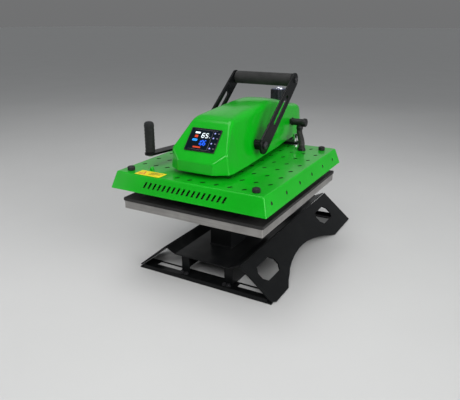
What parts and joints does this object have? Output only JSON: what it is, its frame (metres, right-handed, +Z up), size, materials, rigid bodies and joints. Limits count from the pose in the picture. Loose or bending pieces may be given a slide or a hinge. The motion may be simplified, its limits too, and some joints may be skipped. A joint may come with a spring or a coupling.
{
  "type": "heat press",
  "caption": "Swing-away heat press with a padded lower platen, a covered heating head under a hooded arm, a U-shaped pressure lever and a sheet-steel base.",
  "frame": {"origin": "on the bench, under the middle of the overall bounding box", "axes": "+X to the operator's right, +Y from the operator towards the back, +Z up"},
  "size_m": [0.4392, 0.7161, 0.5229],
  "materials": {
    "black_powder_coat": "satin powder coat",
    "green_paint": "glossy bright green paint",
    "aluminium": "satin",
    "bright_steel": "machined",
    "chrome": "polished",
    "black_rubber": "matte, ribbed",
    "silicone": "matte silicone sponge",
    "insulation": "mineral board",
    "black_plastic": "moulded",
    "display_glass": "glossy dark panel",
    "yellow_label": "printed film"
  },
  "bodies": {
    "base": {"base_top_sheet": "black_powder_coat", "base_side_panel_left": "black_powder_coat", "base_side_panel_right": "black_powder_coat", "base_inner_wall_left": "black_powder_coat", "base_inner_wall_right": "black_powder_coat", "base_cross_plate_front": "black_powder_coat", "base_cross_plate_back": "black_powder_coat", "base_bolt_1": "bright_steel", "base_bolt_2": "bright_steel", "base_bolt_3": "bright_steel", "base_bolt_4": "bright_steel", "pedestal": "black_powder_coat", "platen_support_frame": "black_powder_coat", "lower_platen": "aluminium", "silicone_pad": "silicone", "post_flange": "black_powder_coat", "swing_column": "black_powder_coat", "swing_post": "chrome", "thrust_collar": "bright_steel"},
    "swing_arm": {"arm_hub": "black_powder_coat", "arm_beam": "black_powder_coat", "arm_cover": "green_paint", "guide_crossbar": "black_powder_coat", "display_bezel": "black_plastic", "display_glass": "display_glass", "swing_handle_bar": "black_powder_coat", "swing_handle_grip": "black_rubber", "conduit_fitting": "black_plastic", "power_conduit": "black_rubber", "power_inlet": "black_plastic"},
    "lever": {"lever_shaft": "bright_steel", "lever_arm_left": "black_powder_coat", "lever_arm_right": "black_powder_coat", "lever_crossbar": "bright_steel", "lever_grip": "black_rubber", "lever_pivot_bolt_left": "chrome", "lever_pivot_bolt_right": "chrome", "lever_grip_bolt_left": "chrome", "lever_grip_bolt_right": "chrome", "lever_cam": "bright_steel"},
    "heat_head": {"heating_platen": "aluminium", "insulation_board": "insulation", "platen_cover": "green_paint", "pressure_block": "bright_steel", "guide_rod_left": "chrome", "guide_rod_right": "chrome", "cover_knob_front_left": "black_plastic", "cover_knob_front_right": "black_plastic", "cover_knob_back_left": "black_plastic", "cover_knob_back_right": "black_plastic", "cover_dome_nut": "green_paint", "cover_label": "yellow_label", "conduit_gland": "black_plastic"},
    "pressure_adjuster": {"pressure_knob": "black_plastic", "pressure_knob_cap": "aluminium", "pressure_screw": "bright_steel"},
    "rocker": {"power_switch": "black_plastic"}
  },
  "joints": [
    {"name": "swing", "type": "hinge", "parent": "base", "child": "swing_arm", "pos_m": [0, 0.2621, 0.3], "axis": [0, 0, 1], "range_deg": [0, 100]},
    {"name": "lever_pull", "type": "hinge", "parent": "swing_arm", "child": "lever", "pos_m": [0, -0.1129, 0.355], "axis": [1, 0, 0], "range_deg": [0, 120]},
    {"name": "head_press", "type": "slide", "parent": "swing_arm", "child": "heat_head", "axis": [0, 0, -1], "range_m": [0, 0.028]},
    {"name": "pressure_turn", "type": "hinge", "parent": "swing_arm", "child": "pressure_adjuster", "pos_m": [0, 0.1921, 0.44], "axis": [0, 0, 1], "continuous": true},
    {"name": "power_rock", "type": "hinge", "parent": "swing_arm", "child": "rocker", "pos_m": [-0.057, 0.1871, 0.345], "axis": [0, -1, 0], "range_deg": [0, 16]}
  ],
  "couplings": [
    {"joint": "head_press", "follows": "lever_pull", "m_per_rad": 0.013369}
  ]
}
